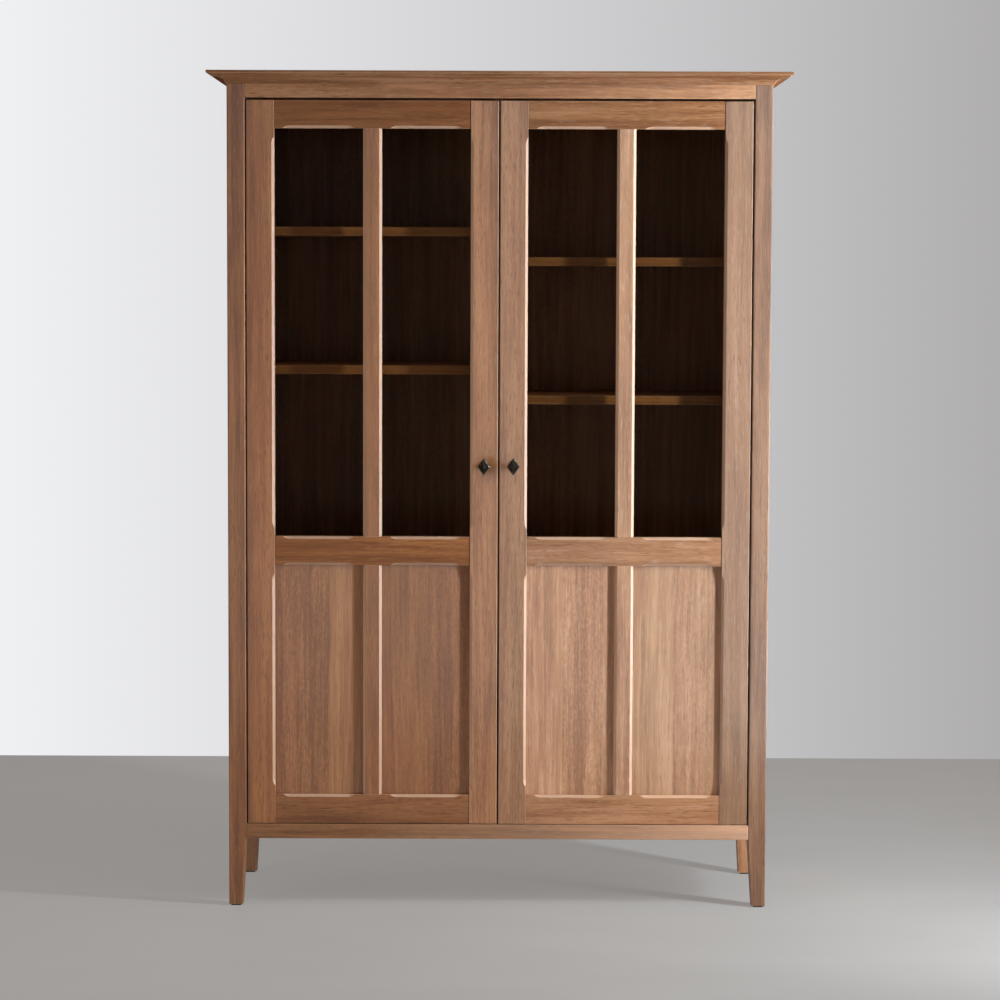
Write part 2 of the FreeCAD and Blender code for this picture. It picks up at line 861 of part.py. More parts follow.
def door_panel(span):
    reach = door_panel_groove - door_panel_clearance
    return block(span[0] - reach, span[1] + reach, door_panel_front, door_panel_rear,
                 lower_opening_low - reach, lower_opening_high + reach)


# Knobs

def diamond(share, out):
    """Four corners in front of the door; share is their part of the full knob size."""
    y = door_face - out
    across = knob_width / 2 * share
    up = knob_length / 2 * share
    return [point(knob_place + across, y, knob_height), point(knob_place, y, knob_height + up),
            point(knob_place - across, y, knob_height), point(knob_place, y, knob_height - up)]


def stacked(rings):
    """A solid of flat faces through a stack of outlines with four corners each."""
    faces = [flat_face(rings[0]), flat_face(rings[-1])]
    for lower, upper in zip(rings, rings[1:]):
        for corner in range(4):
            following = (corner + 1) % 4
            faces.append(flat_face([lower[corner], lower[following], upper[following], upper[corner]]))
    return Part.makeSolid(Part.makeShell(faces))


def knob_stages():
    """Share of the full size and distance from the door at each change of the knob's form."""
    steps = [
        (knob_base_share, 0),
        (knob_base_share, knob_base_height),
        (knob_neck_share, 0),
        (knob_neck_share, knob_neck_height),
        (1, knob_flare_height),
        (1, knob_rim_height),
        (knob_bevel_share, knob_bevel_height),
        (knob_valley_share, -knob_valley_depth),
        (knob_flat_share, knob_point_height),
    ]
    out = 0
    stages = []
    for share, rise in steps:
        out += rise
        stages.append((share, out))
    return stages


def knob():
    solid = stacked([diamond(share, out) for share, out in knob_stages()])
    return solid if solid.Volume > 0 else solid.reversed()


# The named pieces

def door_pieces():
    """Pieces of the right-hand door by name."""
    inner_span, outer_span = bay_spans
    return {
        "hinge_stile": hinge_stile(),
        "meeting_stile": meeting_stile(),
        "top_rail": door_rail("top"),
        "lock_rail": door_rail("lock"),
        "bottom_rail": door_rail("bottom"),
        "upper_muntin": muntin(upper_opening_low, upper_opening_high),
        "lower_muntin": muntin(lower_opening_low, lower_opening_high),
        "glass_panes": glass_panes(),
        "glazing_beads": glazing_beads(),
        "inner_panel": door_panel(inner_span),
        "outer_panel": door_panel(outer_span),
        "knob": knob(),
        "strike_plate": strike_plate(),
        "hinge_leaves": door_hinge_leaves(),
    }


def paired_pieces():
    """Right-hand pieces of the carcass that have a mirrored twin on the left."""
    return {
        "front_{}_post": front_post(),
        "rear_{}_post": rear_post(),
        "{}_side_rails": side_rails(),
        "cornice_{}": cornice_side(),
        "{}_fixed_shelf": fixed_shelf(),
    }


def single_pieces():
    lower = shelf(lower_shelf_low)
    left_middle, left_upper = pegged_levels(left_peg_step)
    right_middle, right_upper = pegged_levels(right_peg_step)
    return {
        "foot_pads": foot_pads(),
        "front_top_rail": front_top_rail(),
        "front_bottom_rail": front_bottom_rail(),
        "rear_rails": rear_rails(),
        "bottom_panel": bottom_panel(),
        "center_partition": center_partition(),
        "back_panel": back_panel(),
        "top_panel": top_panel(),
        "cornice_front": cornice_front(),
        "left_side_panel": other_side(side_panel(left_peg_step)),
        "right_side_panel": side_panel(right_peg_step),
        "lower_shelves": Part.makeCompound([lower, other_side(lower)]),
        "shelf_battens": shelf_battens(),
        "left_middle_shelf": other_side(shelf(left_middle)),
        "left_upper_shelf": other_side(shelf(left_upper)),
        "right_middle_shelf": shelf(right_middle),
        "right_upper_shelf": shelf(right_upper),
        "shelf_pegs": shelf_pegs(),
        "rail_hinge_leaves": rail_hinge_leaves(),
        "magnet_catches": magnet_catches(),
    }


def all_pieces():
    pieces = single_pieces()
    for name, shape in paired_pieces().items():
        pieces[name.format("right")] = shape
        pieces[name.format("left")] = other_side(shape)
    for name, shape in door_pieces().items():
        pieces["right_door_" + name] = shape
        pieces["left_door_" + name] = other_side(shape)
    return pieces


os.makedirs("parts", exist_ok=True)
for piece_name, piece_shape in all_pieces().items():
    if not piece_shape.isValid():
        raise ValueError(piece_name + " is not a valid shape")
    piece_shape.exportStep(os.path.join("parts", piece_name + ".step"))
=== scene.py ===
"""Finishes, small fittings, studio and camera for a glazed kitchen dresser."""

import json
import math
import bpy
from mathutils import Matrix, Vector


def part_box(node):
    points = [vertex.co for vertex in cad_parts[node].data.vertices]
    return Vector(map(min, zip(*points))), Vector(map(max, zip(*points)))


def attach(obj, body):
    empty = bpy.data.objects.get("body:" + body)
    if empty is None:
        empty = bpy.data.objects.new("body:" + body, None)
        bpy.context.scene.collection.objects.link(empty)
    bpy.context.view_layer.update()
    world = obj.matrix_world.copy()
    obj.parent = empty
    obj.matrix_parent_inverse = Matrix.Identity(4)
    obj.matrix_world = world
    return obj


bl_info = {
    "name": "Kitchen dresser finishes",
    "version": (1, 0, 0),
    "blender": (4, 5, 0),
    "location": "3D View > Sidebar > Dresser",
    "description": "Dresses the dresser in oiled wood, glass and iron, and sets up its studio",
    "category": "Object",
}

import bmesh
import bpy
from bpy.props import FloatProperty, FloatVectorProperty, IntProperty, PointerProperty
from mathutils import Matrix, Vector

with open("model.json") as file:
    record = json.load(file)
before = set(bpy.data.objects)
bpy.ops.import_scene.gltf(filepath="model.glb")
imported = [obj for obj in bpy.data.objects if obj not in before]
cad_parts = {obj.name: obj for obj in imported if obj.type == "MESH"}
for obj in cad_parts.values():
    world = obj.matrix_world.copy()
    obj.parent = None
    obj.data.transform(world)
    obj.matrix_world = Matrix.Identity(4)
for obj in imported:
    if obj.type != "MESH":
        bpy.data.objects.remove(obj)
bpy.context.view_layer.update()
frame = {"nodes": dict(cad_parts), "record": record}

CARCASS = "carcass"
SIDES = ("left", "right")

# Pieces whose grain doesn't run along the longest side of their node's box, because the node holds several
GRAIN_BY_NODE = {"rear_rails": "X", "left_side_rails": "Y", "right_side_rails": "Y", "shelf_battens": "Y"}

# Boards whose tone differs clearly from the rest: how light each is, how much warmer, and the boards given
# it.
# Beside real plank-to-plank tone these levels paint light and shade: the paler, cooler boards of the right
# door are a painted sheen, the darker, warmer boards of the left door and the darker back panel are painted
# shade, and the cooler cornice is a painted sheen
PLANKS_AND_PAINTED_LIGHT = (
    (0.5, 0.0, ("front_right_post",)),
    (0.6, -0.2, ("cornice_front", "cornice_left", "cornice_right")),
    (0.6, 0.3, ("front_bottom_rail",)),
    (0.7, -0.2, ("top_panel", "back_panel", "right_door_hinge_stile")),
    (0.7, 0.4, ("left_door_top_rail", "left_door_bottom_rail", "left_door_inner_panel")),
    (0.8, 0.5, ("front_left_post", "left_door_hinge_stile", "left_door_lock_rail", "left_door_upper_muntin",
                "left_door_lower_muntin", "right_middle_shelf", "right_upper_shelf")),
    (0.9, 0.0, ("front_top_rail", "right_side_panel", "right_door_meeting_stile", "right_door_top_rail",
                "right_door_bottom_rail")),
    (1.0, 0.2, ("left_door_meeting_stile", "left_door_outer_panel")),
    (1.1, -0.3, ("right_door_lock_rail", "right_door_upper_muntin", "right_door_lower_muntin",
                 "right_door_inner_panel", "right_door_outer_panel")),
    (1.2, 0.4, ("left_middle_shelf", "left_upper_shelf")),
)
BOARD_TONES_AND_PAINTED_LIGHT = {board: (level, warmth) for level, warmth, boards in PLANKS_AND_PAINTED_LIGHT for board in boards}

# A warm board loses blue, and this share as much green
GREEN_SHARE = 0.4

# Boards that get a painted sheen towards their right end, paler there as if lit from the right, and how far
PAINTED_SHEEN_ENDS = {"front_top_rail": 0.15, "front_bottom_rail": 0.4}

# Where each grain direction takes its along, across and depth coordinates from
GRAIN_ORDER = {"X": (0, 1, 2), "Y": (1, 0, 2), "Z": (2, 0, 1)}

# How far apart in the wood two boards may lie: along, across and through the grain
BOARD_SPACING = (23.0, 41.0, 67.0)

# Width of each pattern in the wood as a share of its length, so that small shares make long streaks
BAND_STRETCH = 0.050
LINE_STRETCH = 0.030
CLOUD_STRETCH = 0.35
CURL_STRETCH = 0.45
PORE_STRETCH = 0.100
FLECK_STRETCH = 0.095
HUE_STRETCH = 0.04

# How much each pattern counts in the figure of the wood
BAND_SHARE = 0.32
LINE_SHARE = 0.32
FIBRE_SHARE = 0.24
CLOUD_SHARE = 0.12

# How far the grain wanders sideways, in metres
GRAIN_SWAY = 0.022

# How much a strip of veneer may add to the figure, and how much the curl counts in the darkest strips
STRIP_CHANGE = 0.04
CURL_CHANGE = 0.22

# How far the chamfers take on a painted highlight, and how much a face's direction may differ from 45
# degrees:
# from the first value on it takes none of the highlight, and up to the second all of it
CHAMFER_PAINTED_HIGHLIGHT = 0.50
CHAMFER_LEAN = (0.16, 0.08)

# How much duller or paler the uneven spots of metal, plastic, felt and paint are
DULL_METAL = 0.72
PALE_PLASTIC = 1.35
PALE_FELT = 2.2
PAINT_CHANGE = 0.06

# Edges between faces that lie flatter than the first angle vanish, those sharper than the second are rounded
FLAT_ANGLE = math.radians(1.0)
SHARP_ANGLE = math.radians(35.0)

# Sides of a screw head, and its outline from the wood up: shares of its radius and of its height
SCREW_SIDES = 24
SCREW_OUTLINE = ((1.0, 0.0), (1.0, 0.35), (0.94, 0.62), (0.80, 0.85), (0.62, 1.0))

# A screw's cross recess at its mouth and floor, as half length and half width of its arms and its height:
# shares of the head's radius and height
CROSS_MOUTH = (0.50, 0.11, 1.0)
CROSS_FLOOR = (0.34, 0.08, 0.30)

# How far each back screw is turned past the one before it, and the left knob's screw, in radians
SCREW_TURN = 1.7
KNOB_SCREW_TURN = 0.6

# How far in from the outer edges of the rear rails the lines of screws lie, in edge distances
RAIL_INSET = 3

# Brightness of the evenly lit share of the floor, as a share of the floor's own colour
FLOOR_GLOW = 0.66

# Half the width over which the wall's painted light fades from its left to its right colour, in metres
WALL_FADE = 1.4


# Settings that a user may change

def colour(name, description, default):
    return FloatVectorProperty(name=name, description=description, default=default, subtype="COLOR",
                               size=3, min=0.0, max=1.0)


def length(name, description, default):
    return FloatProperty(name=name, description=description, default=default, unit="LENGTH", precision=4)


def share(name, description, default):
    return FloatProperty(name=name, description=description, default=default, subtype="FACTOR",
                         min=0.0, max=1.0)


def power(name, description, default):
    return FloatProperty(name=name, description=description, default=default, unit="POWER")


def strength(name, description, default):
    return FloatProperty(name=name, description=description, default=default)


def angle(name, description, degrees):
    return FloatProperty(name=name, description=description, default=math.radians(degrees), subtype="ANGLE")


def position(name, description, default):
    return FloatVectorProperty(name=name, description=description, default=default, subtype="TRANSLATION",
                               unit="LENGTH")


class DresserWood(bpy.types.PropertyGroup):
    """Tones and grain of the oiled wood."""

    light: colour("Light grain", "The palest bands of the wood", (0.54, 0.256, 0.122))
    middle: colour("Main colour", "The colour that most of the wood has", (0.40, 0.168, 0.068))
    dark: colour("Dark grain", "The darkest bands of the wood", (0.255, 0.096, 0.035))
    pore: colour("Pores", "The short dark dashes along the grain", (0.14, 0.052, 0.020))
    fleck: colour("Flecks", "The pale filled pores that catch the light", (0.62, 0.39, 0.25))
    band_width: length("Band width", "Width of the broad light and dark bands", 0.048)
    line_width: length("Line width", "Width of the growth lines", 0.010)
    fibre_width: length("Fibre width", "Width of the fine streaks", 0.0032)
    pore_width: length("Pore width", "Width of one pore", 0.0021)
    strip_width: length("Veneer strip", "Usual width of one strip of the panels' veneer", 0.085)
    board_change: share("Board to board", "How much one board is lighter or darker than the next", 0.22)
    edge_radius: length("Edge radius", "Rounding that softens every sharp edge", 0.0006)
    # This colour paints the highlight on the door frames' chamfers and the sheen at the rails' right ends
    painted_light_tone: colour("Chamfers", "Paler wood of the door frames' chamfers and of the rails' pale ends",
                    (0.74, 0.50, 0.37))
    wear_radius: length("Edge wear", "Width of the worn, paler wood along the edges", 0.0018)
    roughness: share("Roughness", "Roughness of the oiled surface", 0.42)
    silk: share("Silkiness", "How far the surface spreads a highlight sideways", 1.0)


class DresserFittings(bpy.types.PropertyGroup):
    """Glass, metal and screws."""

    glass_tint: colour("Glass", "Tint of the clear panes", (0.86, 0.88, 0.86))
    glass_shade: colour("Glass, lamps", "What each face of a pane lets through of the lamps' light",
                        (0.68, 0.69, 0.67))
    iron: colour("Iron", "Blackened iron of the knobs", (0.022, 0.020, 0.014))
    iron_worn: colour("Worn iron", "Bare iron on the knobs' edges", (0.42, 0.39, 0.31))
    iron_radius: length("Knob edge radius", "Rounding of the knobs' facets", 0.0010)
    brass: colour("Brass", "Aged brass of the hinge leaves", (0.10, 0.072, 0.036))
    zinc: colour("Zinc", "Plated steel of pegs, strikes and screws", (0.58, 0.58, 0.56))
    plastic: colour("Plastic", "Moulded housing of the catches", (0.085, 0.055, 0.038))
    felt: colour("Felt", "Pads under the feet", (0.035, 0.033, 0.031))
    screw_radius: length("Screw radius", "Radius of a screw head", 0.0040)
    screw_height: length("Screw height", "Height of a screw head over the wood", 0.0019)
    screw_edge: length("Screw edge distance", "From the edge of the back to the line of screws", 0.0050)
    back_screws_up: IntProperty(name="Screws up the back",
                                description="Screws up each post and the partition", default=7, min=2)
    back_screws_across: IntProperty(name="Screws across the back", description="Screws along each rear rail",
                                    default=6, min=2)


class DresserStudio(bpy.types.PropertyGroup):
    """Camera, lamps, floor and wall."""

    camera_place: position("Camera", "Where the camera stands", (0.012, -6.090, 1.296))
    camera_tilt: angle("Tilt", "How far the camera looks down", 4.423)
    camera_turn: angle("Turn", "How far the camera is turned to its left", 0.085)
    camera_roll: angle("Roll", "How far the camera is rolled to its left", 0.210)
    lens: FloatProperty(name="Lens", description="Focal length of the lens in millimetres", default=105.33)
    key_place: position("Key lamp", "Where the key softbox stands", (1.55, -0.72, 1.40))
    key_width: length("Key width", "Width of the key softbox", 0.10)
    key_height: length("Key height", "Height of the key softbox", 0.40)
    key_power: power("Key power", "Power of the key softbox", 17.0)
    key_colour: colour("Key colour", "Colour of the key softbox", (0.86, 0.95, 1.0))
    strip_middle: length("Strip middle", "Height of the middle of the strip light by the key softbox", 1.10)
    strip_height: length("Strip height", "Height of the strip light by the key softbox", 2.0)
    strip_power: power("Strip power", "Power of the strip light", 43.0)
    fill_place: position("Fill lamp", "Where the fill softbox stands", (-1.90, -1.20, 1.0))
    fill_width: length("Fill width", "Width of the fill softbox", 1.2)
    fill_height: length("Fill height", "Height of the fill softbox", 2.0)
    fill_power: power("Fill power", "Power of the fill softbox", 8.5)
    top_place: position("Top lamp", "Where the top softbox hangs", (0.70, -0.46, 3.20))
    top_width: length("Top width", "Width of the top softbox", 2.6)
    top_depth: length("Top depth", "Depth of the top softbox", 0.5)
    top_power: power("Top power", "Power of the top softbox", 10.0)
    soft_colour: colour("Soft colour", "Colour of the fill, top and soft light", (1.0, 0.93, 0.85))
    side_level: strength("Side light", "Strength of the soft light from the sides, top and back", 0.37)
    front_level: strength("Front light", "Strength of the soft light from the camera's side", 0.09)
    left_share: share("Left share", "How much stronger than ahead the soft light is on the left", 0.40)
    paper: colour("Background", "What is seen past the floor and the wall", (0.52, 0.52, 0.525))
    front_paper: colour("Background, front", "What is seen behind the camera's place", (0.10, 0.10, 0.101))
    floor: colour("Floor", "Pale floor", (0.55, 0.525, 0.51))
    floor_paper: share("Floor evenness", "How far the floor is seen evenly bright, with soft shadows", 0.65)
    # The wall's pale left and darker right are painted light, as if the left were lit more
    wall_left: colour("Wall, left", "Pale wall behind the dresser, on the left", (0.88, 0.885, 0.91))
    wall_right: colour("Wall, right", "Pale wall behind the dresser, on the right", (0.42, 0.41, 0.415))
    stage_size: length("Stage size", "Side of the floor", 24.0)
    wall_distance: length("Wall distance", "From the middle of the dresser to the wall", 1.70)
    wall_height: length("Wall height", "Height of the wall", 9.0)


# Node trees

class Graph:
    """The node tree of one material or world. Methods that make a value return the socket that carries it."""

    def __init__(self, owner):
        owner.use_nodes = True
        self.tree = owner.node_tree

    def feed(self, socket, value):
        if isinstance(value, bpy.types.NodeSocket):
            self.tree.links.new(value, socket)
        else:
            socket.default_value = value

    def add(self, kind, inputs=None, **settings):
        node = self.tree.nodes.new(kind)
        for name, value in settings.items():
            setattr(node, name, value)
        for key, value in (inputs or {}).items():
            self.feed(node.inputs[key], value)
        return node

    def math(self, operation, first, second=0.0):
        return self.add("ShaderNodeMath", {0: first, 1: second}, operation=operation).outputs[0]

    def vector(self, x, y, z):
        return self.add("ShaderNodeCombineXYZ", {0: x, 1: y, 2: z}).outputs[0]

    def moved(self, place, shift):
        return self.add("ShaderNodeVectorMath", {0: place, 1: shift}, operation="ADD").outputs[0]

    def scaled(self, place, scale):
        return self.add("ShaderNodeVectorMath", {0: place, 1: scale}, operation="MULTIPLY").outputs[0]

    def noise(self, place, scale, detail=2.0, roughness=0.5, distortion=0.0):
        inputs = {"Vector": place, "Scale": scale, "Detail": detail, "Roughness": roughness,
                  "Distortion": distortion}
        return self.add("ShaderNodeTexNoise", inputs).outputs[0]

    def spread(self, value, low, high, start=0.0, end=1.0):
        """A value from low to high, mapped to start to end and kept between them."""
        return self.add("ShaderNodeMapRange", {0: value, 1: low, 2: high, 3: start, 4: end}).outputs[0]

    def blend(self, amount, first, second, how="MIX"):
        node = self.add("ShaderNodeMix", data_type="RGBA", blend_type=how, clamp_factor=True)
        self.feed(node.inputs[0], amount)
        self.feed(node.inputs[6], first)
        self.feed(node.inputs[7], second)
        return node.outputs[2]

    def ramp(self, value, colours):
        """A colour from an evenly spaced row of colours."""
        node = self.add("ShaderNodeValToRGB", {0: value})
        stops = node.color_ramp.elements
        for index, tone in enumerate(colours):
            position = index / (len(colours) - 1)
            stop = stops[index] if index < 2 else stops.new(position)
            stop.position = position
            stop.color = opaque(tone)
        return node.outputs[0]

    def mixture(self, *shares):
        """The sum of several values, each times its own share."""
        total = 0.0
        for value, amount in shares:
            total = self.math("ADD", total, self.math("MULTIPLY", value, amount))
        return total

    def bump(self, height, amount, distance, normal=None):
        node = self.add("ShaderNodeBump", {"Height": height, "Strength": amount, "Distance": distance})
        if normal is not None:
            self.feed(node.inputs["Normal"], normal)
        return node.outputs[0]

    def rounded(self, radius):
        """The surface's direction, turning softly round the edges."""
        return self.add("ShaderNodeBevel", {"Radius": radius}, samples=6).outputs[0]

    def edge_wear(self, rounded):
        """0 on flat faces, rising to 1 on sharp outer and inner edges."""
        facing = self.add("ShaderNodeNewGeometry").outputs["Normal"]
        likeness = self.add("ShaderNodeVectorMath", {0: rounded, 1: facing}, operation="DOT_PRODUCT")
        return self.spread(likeness.outputs["Value"], 0.995, 0.90)


def opaque(tone):
    return (tone[0], tone[1], tone[2], 1.0)


def new_material(name, **sockets):
    """A material with constant values on its shader's own sockets; returns it with its graph and shader."""
    material = bpy.data.materials.new(name)
    graph = Graph(material)
    shader = graph.tree.nodes["Principled BSDF"]
    for socket, value in sockets.items():
        shader.inputs[socket.replace("_", " ")].default_value = value
    return material, graph, shader


# Wood

def board_place(graph, axis):
    """Coordinates with X along the grain, at a different spot in the wood for each board."""
    place = graph.add("ShaderNodeTexCoord").outputs["Object"]
    parts = graph.add("ShaderNodeSeparateXYZ", {0: place}).outputs
    along, across, deep = (parts[index] for index in GRAIN_ORDER[axis])
    board = graph.add("ShaderNodeObjectInfo").outputs["Random"]
    shift = graph.scaled(graph.vector(board, board, board), BOARD_SPACING)
    spot = graph.moved(graph.vector(along, across, deep), shift)
    return spot, board, along, across


def streaks(graph, spot, stretch, width, detail, roughness=0.5, shift=(0.0, 0.0, 0.0)):
    """Noise of one width across the grain, drawn out along it."""
    drawn = graph.moved(graph.scaled(spot, (stretch, 1.0, 1.0)), shift)
    return graph.noise(drawn, 1 / width, detail, roughness)


def veneer(graph, wood, spot, across, board):
    """What strips of veneer add to the figure: a step from strip to strip, and curl in the darker ones."""
    start = graph.math("ADD", across, graph.math("MULTIPLY", board, 9.0))
    inputs = {"W": start, "Scale": 1 / wood.strip_width}
    cells = graph.add("ShaderNodeTexVoronoi", inputs, voronoi_dimensions="1D")
    strip = graph.add("ShaderNodeSeparateColor", {0: cells.outputs["Color"]}).outputs[0]
    step = graph.spread(strip, 0.0, 1.0, -STRIP_CHANGE, STRIP_CHANGE)
    curl = graph.math("SUBTRACT", streaks(graph, spot, CURL_STRETCH, wood.fibre_width / 0.8, 2.0), 0.5)
    ripple = graph.math("MULTIPLY", curl, graph.spread(strip, 0.60, 0.35, 0.0, CURL_CHANGE))
    return graph.math("ADD", step, ripple)


def painted_chamfer_highlight(graph):
    """How much painted highlight shows: only on faces that lean back from the front by 45 degrees."""
    facing = graph.add("ShaderNodeTexCoord").outputs["Normal"]
    front = graph.add("ShaderNodeSeparateXYZ", {0: facing}).outputs[1]
    slant = graph.math("ABSOLUTE", graph.math("ADD", front, math.sqrt(0.5)))
    return graph.spread(slant, CHAMFER_LEAN[0], CHAMFER_LEAN[1], 0.0, CHAMFER_PAINTED_HIGHLIGHT)


def wood_material(name, axis, strips=False, flecks=0.0, pore_depth=0.70, shade=1.0, gloss=1.0, contrast=1.0,
                  wear=1.0, chamfers=False):
    """Straight-grained oiled wood: broad bands, growth lines, fine fibre and pores along one axis."""
    wood = bpy.context.scene.dresser_wood
    material, graph, shader = new_material(name, IOR=1.6, Specular_IOR_Level=gloss, Anisotropic=wood.silk)
    spot, board, along, across = board_place(graph, axis)
    tangent = graph.add("ShaderNodeTangent", direction_type="RADIAL", axis=axis).outputs[0]
    graph.feed(shader.inputs["Tangent"], tangent)

    drift = graph.noise(graph.scaled(spot, (1.6, 5.0, 5.0)), 1.0, 1.0)
    sway = graph.math("MULTIPLY", graph.math("SUBTRACT", drift, 0.5), GRAIN_SWAY)
    spot = graph.moved(spot, graph.vector(0.0, sway, sway))
    bands = streaks(graph, spot, BAND_STRETCH, wood.band_width, 2.0, 0.55)
    lines = streaks(graph, spot, LINE_STRETCH, wood.line_width, 3.0, 0.6)
    fibre = streaks(graph, spot, LINE_STRETCH, wood.fibre_width, 3.0, 0.65)
    clouds = streaks(graph, spot, CLOUD_STRETCH, wood.band_width, 2.0, 0.6)
    figure = graph.mixture((bands, BAND_SHARE), (lines, LINE_SHARE), (fibre, FIBRE_SHARE),
                           (clouds, CLOUD_SHARE))
    if strips:
        figure = graph.math("ADD", figure, veneer(graph, wood, spot, across, board))
    reach = 0.1 / contrast
    tone = graph.ramp(graph.spread(figure, 0.5 - reach, 0.5 + reach), (wood.dark, wood.middle, wood.light))

    dashes = streaks(graph, spot, PORE_STRETCH, wood.pore_width, 1.5)
    open_wood = graph.spread(bands, 0.42, 0.60, 0.15, 1.0)
    pores = graph.math("MULTIPLY", graph.spread(dashes, 0.55, 0.74), open_wood)
    tone = graph.blend(graph.math("MULTIPLY", pores, pore_depth), tone, opaque(wood.pore))
    if flecks:
        glints = streaks(graph, spot, FLECK_STRETCH, wood.pore_width / 0.9, 2.0, shift=(0.0, 3.1, 1.7))
        tone = graph.blend(graph.spread(glints, 0.55, 0.72, 0.0, flecks), tone, opaque(wood.fleck))

    change = wood.board_change / 2
    level = graph.spread(board, 0.0, 1.0, shade * (1 - change), shade * (1 + change))
    tint = streaks(graph, spot, HUE_STRETCH, wood.band_width / 0.7, 1.0, shift=(5.0, 0.0, 2.0))
    hue = graph.spread(tint, 0.35, 0.65, 0.4975, 0.5025)
    tone = graph.add("ShaderNodeHueSaturation", {"Hue": hue, "Value": level, "Color": tone}).outputs[0]
    # The board's tone with its painted light and shade, then a painted sheen that pales the board towards its
    # right end
    own = graph.add("ShaderNodeObjectInfo").outputs
    tone = graph.blend(1.0, tone, own["Color"], "MULTIPLY")
    painted_sheen_end = graph.math("MULTIPLY", own["Alpha"], graph.spread(along, -0.3, 0.5))
    tone = graph.blend(painted_sheen_end, tone, opaque(wood.painted_light_tone), "ADD")
    # On the door frames, a painted highlight on every chamfer
    if chamfers:
        tone = graph.blend(painted_chamfer_highlight(graph), tone, opaque(wood.painted_light_tone))
    # Paler worn edges; on the posts, made wider, they also paint a highlight along the arrises
    rounded = graph.rounded(wear * wood.wear_radius)
    worn = graph.math("MULTIPLY", graph.edge_wear(rounded), graph.spread(bands, 0.40, 0.60, 0.35, 0.70))
    tone = graph.blend(worn, tone, opaque(wood.fleck))
    graph.feed(shader.inputs["Base Color"], tone)

    rough = graph.spread(fibre, 0.3, 0.7, wood.roughness - 0.06, wood.roughness + 0.08)
    rough = graph.math("ADD", rough, graph.math("MULTIPLY", pores, 0.15))
    graph.feed(shader.inputs["Roughness"], rough)
    height = graph.math("SUBTRACT", graph.math("MULTIPLY", fibre, 0.35), pores)
    graph.feed(shader.inputs["Normal"], graph.bump(height, 0.22, 0.0004, rounded))
    return material


# Glass, metals, plastic and felt

def glass_material():
    """Clear glass that lets the lamps' light through to the shelves."""
    fittings = bpy.context.scene.dresser_fittings
    material, graph, shader = new_material("clear_pane", Transmission_Weight=1.0, Roughness=0.0, IOR=1.07)
    shader.inputs["Base Color"].default_value = opaque(fittings.glass_tint)
    spot = graph.add("ShaderNodeTexCoord").outputs["Object"]
    ripple = graph.noise(graph.scaled(spot, (1.0, 1.0, 0.6)), 7.0, 1.0)
    graph.feed(shader.inputs["Normal"], graph.bump(ripple, 0.04, 0.002))
    path = graph.add("ShaderNodeLightPath").outputs
    passing = graph.math("MAXIMUM", path["Is Shadow Ray"], path["Is Diffuse Ray"])
    clear = graph.add("ShaderNodeBsdfTransparent", {"Color": opaque(fittings.glass_shade)})
    mixed = graph.add("ShaderNodeMixShader", {0: passing, 1: shader.outputs[0], 2: clear.outputs[0]})
    graph.feed(graph.tree.nodes["Material Output"].inputs["Surface"], mixed.outputs[0])
    return material


def iron_material():
    """Blackened iron, hammered a little and rubbed bare along its edges."""
    fittings = bpy.context.scene.dresser_fittings
    material, graph, shader = new_material("blackened_iron", Metallic=0.85, Specular_IOR_Level=0.5)
    spot = graph.add("ShaderNodeTexCoord").outputs["Object"]
    mottle = graph.noise(spot, 420.0, 4.0, 0.6)
    dents = graph.noise(spot, 190.0, 1.0)
    edges = graph.edge_wear(graph.rounded(0.0012))
    worn = graph.math("MULTIPLY", edges, graph.spread(mottle, 0.35, 0.6, 0.20, 0.9))
    bare = opaque(fittings.iron_worn)
    tone = graph.blend(graph.spread(mottle, 0.45, 0.7, 0.0, 0.15), opaque(fittings.iron), bare)
    graph.feed(shader.inputs["Base Color"], graph.blend(worn, tone, bare))
    graph.feed(shader.inputs["Roughness"], graph.spread(mottle, 0.3, 0.7, 0.10, 0.24))
    height = graph.math("ADD", dents, graph.math("MULTIPLY", mottle, 0.25))
    graph.feed(shader.inputs["Normal"], graph.bump(height, 0.80, 0.0014))
    return material


def metal_material(name, tone, brush_axis, roughness):
    """Plain milled or plated metal with fine tool marks along one axis."""
    material, graph, shader = new_material(name, Metallic=1.0)
    spot = graph.add("ShaderNodeTexCoord").outputs["Object"]
    stretch = [1.0, 1.0, 1.0]
    stretch["XYZ".index(brush_axis)] = 0.04
    marks = graph.noise(graph.scaled(spot, tuple(stretch)), 2600.0, 2.0)
    stains = graph.noise(spot, 160.0, 3.0)
    dull = tuple(DULL_METAL * part for part in tone)
    mixed = graph.blend(graph.spread(stains, 0.4, 0.7), opaque(tone), opaque(dull))
    graph.feed(shader.inputs["Base Color"], mixed)
    graph.feed(shader.inputs["Roughness"], graph.spread(marks, 0.3, 0.7, roughness - 0.08, roughness + 0.10))
    graph.feed(shader.inputs["Normal"], graph.bump(marks, 0.10, 0.0002))
    return material


def plastic_material():
    """Moulded plastic with a fine spark-eroded texture."""
    tone = bpy.context.scene.dresser_fittings.plastic
    material, graph, shader = new_material("catch_housing", Specular_IOR_Level=0.4)
    spot = graph.add("ShaderNodeTexCoord").outputs["Object"]
    grain = graph.noise(spot, 2400.0, 2.0)
    cloud = graph.noise(spot, 90.0, 2.0)
    paler = tuple(PALE_PLASTIC * part for part in tone)
    mixed = graph.blend(graph.spread(cloud, 0.35, 0.65), opaque(tone), opaque(paler))
    graph.feed(shader.inputs["Base Color"], mixed)
    graph.feed(shader.inputs["Roughness"], graph.spread(grain, 0.3, 0.7, 0.45, 0.62))
    graph.feed(shader.inputs["Normal"], graph.bump(grain, 0.18, 0.0002))
    return material


